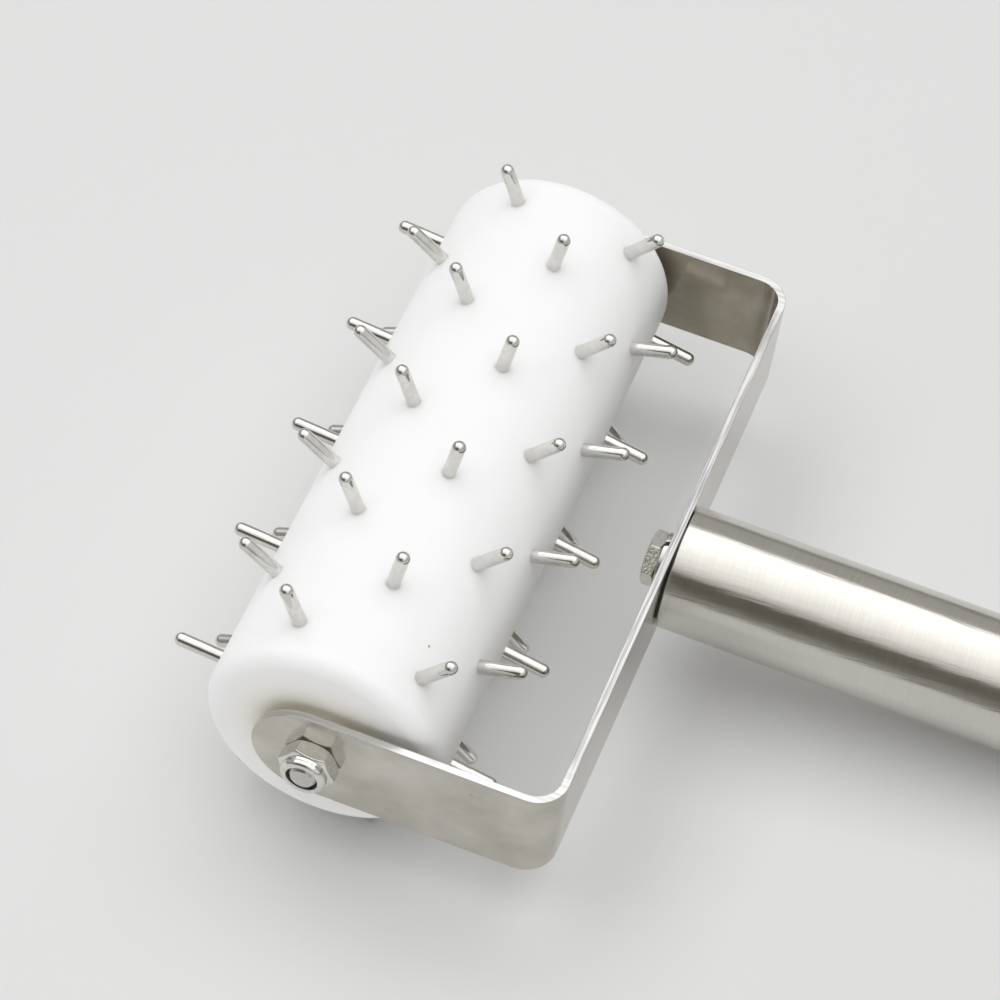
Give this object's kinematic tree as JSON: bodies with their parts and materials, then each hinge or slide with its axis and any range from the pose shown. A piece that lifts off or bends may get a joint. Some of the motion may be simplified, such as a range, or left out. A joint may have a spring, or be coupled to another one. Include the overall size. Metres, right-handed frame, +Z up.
{
  "type": "dough docker",
  "caption": "Hand tool that pricks holes in dough: a plastic roller studded with round-tipped steel pins turns freely in a bent steel bracket with a tube handle.",
  "frame": {"origin": "on the table the tool lies on, midway along and midway across the whole tool", "axes": "+Z up from the table; X along the roller's axle, +X to the right of someone holding the handle; the handle points to -Y"},
  "size_m": [0.1522, 0.2114, 0.066],
  "materials": {
    "roller_plastic": "smooth turned white plastic, satin",
    "pin_steel": "polished stainless steel",
    "strip_steel": "satin stainless strip with bright edges",
    "handle_steel": "stainless tube brushed round its length",
    "nut_steel": "bright cold-formed stainless steel",
    "plain_steel": "plain machined stainless steel",
    "washer_plastic": "smooth natural nylon",
    "dark_nylon": "dark blue-black nylon"
  },
  "bodies": {
    "frame": {"bracket": "strip_steel", "axle_rod": "plain_steel", "axle_spacer": "plain_steel", "thrust_washer_left": "washer_plastic", "thrust_washer_right": "washer_plastic", "lock_nut_left": "nut_steel", "lock_nut_right": "nut_steel", "nut_ring_left": "dark_nylon", "nut_ring_right": "dark_nylon", "handle_bolt": "nut_steel", "spring_washer": "plain_steel", "handle_tube": "handle_steel", "handle_front_plug": "plain_steel", "handle_end_cap": "handle_steel"},
    "roller": {"roller_core": "roller_plastic", "pin_row_01": "pin_steel", "pin_row_02": "pin_steel", "pin_row_03": "pin_steel", "pin_row_04": "pin_steel", "pin_row_05": "pin_steel", "pin_row_06": "pin_steel", "pin_row_07": "pin_steel", "pin_row_08": "pin_steel", "pin_row_09": "pin_steel", "pin_row_10": "pin_steel", "pin_row_11": "pin_steel", "pin_row_12": "pin_steel"}
  },
  "joints": [
    {"name": "roller_spin", "type": "hinge", "parent": "frame", "child": "roller", "pos_m": [0, 0.07263, 0.03336], "axis": [1, 0, 0], "continuous": true}
  ]
}
